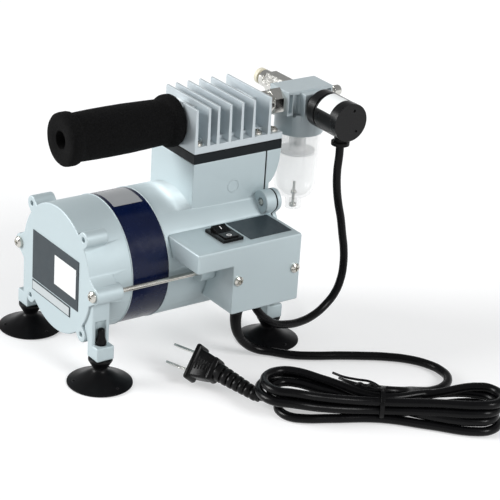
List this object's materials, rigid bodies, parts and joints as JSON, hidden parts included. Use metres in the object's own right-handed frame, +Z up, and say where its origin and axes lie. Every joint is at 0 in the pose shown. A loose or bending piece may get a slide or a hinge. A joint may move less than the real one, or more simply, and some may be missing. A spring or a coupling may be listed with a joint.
{
  "type": "oil-free piston vacuum pump",
  "caption": "Portable oil-free piston pump: motor, finned head, foam handle, drain bowl, pressure switch, switch box, suction feet and tied mains cord.",
  "frame": {"origin": "middle of the footprint of everything but the mains cord and its plug, at floor level", "axes": "+X along the motor shaft from the end bell to the crank end; +Z up; the switch box is on the -Y side"},
  "size_m": [0.241, 0.297, 0.1739],
  "materials": {
    "painted_casting": "satin light grey paint over die casting",
    "navy_band": "glossy navy film",
    "stator_steel": "laminated steel",
    "copper": "enamelled copper wire",
    "bright_steel": "ground steel",
    "zinc_screw": "nickel plated",
    "plated_brass": "nickel plated brass",
    "cast_aluminium": "clear satin cast aluminium",
    "black_plate": "dark grey satin",
    "filter_paint": "silver paint",
    "clear_bowl": "clear moulded polycarbonate",
    "white_plastic": "white moulded plastic",
    "ivory_plastic": "ivory moulded plastic",
    "black_plastic": "black moulded plastic",
    "black_rubber": "moulded rubber",
    "foam": "closed cell foam",
    "cord_jacket": "black cord jacket",
    "plate_grey": "dark grey plate, bare",
    "label_white": "plain white label, bare",
    "seal_white": "PTFE compound"
  },
  "bodies": {
    "root": {"end_bell": "painted_casting", "stator_stack": "stator_steel", "stator_band": "navy_band", "stator_windings": "copper", "bearing_outer_rings": "bright_steel", "bearing_balls": "bright_steel", "crankcase": "painted_casting", "cylinder_liner": "cast_aluminium", "cover_gasket": "black_rubber", "front_cover": "painted_casting", "cover_screws": "zinc_screw", "valve_plate": "black_plate", "reed_valves": "bright_steel", "head_gasket": "black_rubber", "cylinder_head": "cast_aluminium", "head_screws": "zinc_screw", "tie_rods": "zinc_screw", "handle_rod": "bright_steel", "handle_grip": "foam", "switch_box": "painted_casting", "box_screws": "zinc_screw", "switch_housing": "black_plastic", "capacitor": "white_plastic", "control_plate": "plate_grey", "rating_plates": "plate_grey", "band_label": "label_white", "cord_glands": "black_rubber", "outlet_nipple": "plated_brass", "filter_head": "filter_paint", "filter_element": "white_plastic", "filter_bowl": "clear_bowl", "bowl_ring": "black_rubber", "coupler_body": "plated_brass", "side_plug": "plated_brass", "pressure_switch": "black_plastic", "pressure_switch_cap": "black_plastic", "pressure_switch_label": "label_white", "switch_grommet": "black_rubber", "suction_feet": "black_rubber", "sensor_cord": "cord_jacket", "mains_cord": "cord_jacket", "mains_hank": "cord_jacket", "hank_tie": "black_plastic", "plug_body": "black_plastic", "plug_blades": "plated_brass", "plug_strain_relief": "black_plastic"},
    "rotor": {"rotor_core": "stator_steel", "rotor_end_rings": "cast_aluminium", "rotor_shaft": "bright_steel", "bearing_inner_rings": "bright_steel", "crank_disc": "stator_steel"},
    "piston": {"crank_pin": "bright_steel", "rod_bearing": "bright_steel", "piston_rod": "cast_aluminium", "piston_seal": "seal_white", "seal_retainer": "bright_steel"},
    "rocker": {"switch_rocker": "black_plastic"},
    "coupler_ring": {"coupler_sleeve": "ivory_plastic"},
    "drain": {"drain_pin": "plated_brass"}
  },
  "joints": [
    {"name": "shaft_spin", "type": "hinge", "parent": "root", "child": "rotor", "pos_m": [-0.06, 0.004, 0.065], "axis": [1, 0, 0], "continuous": true},
    {"name": "piston_stroke", "type": "slide", "parent": "root", "child": "piston", "axis": [0, 0, 1], "range_m": [0, 0.012]},
    {"name": "power_rocker", "type": "hinge", "parent": "root", "child": "rocker", "pos_m": [-0.0101, -0.0505, 0.0916], "axis": [1, 0, 0], "range_deg": [-14, 0]},
    {"name": "coupler_release", "type": "slide", "parent": "root", "child": "coupler_ring", "axis": [0, -1, 0], "range_m": [0, 0.002], "stiffness_N_per_m": 600, "springref_m": -0.001},
    {"name": "drain_push", "type": "slide", "parent": "root", "child": "drain", "axis": [0, 0, 1], "range_m": [0, 0.0025], "stiffness_N_per_m": 300, "springref_m": -0.001}
  ]
}
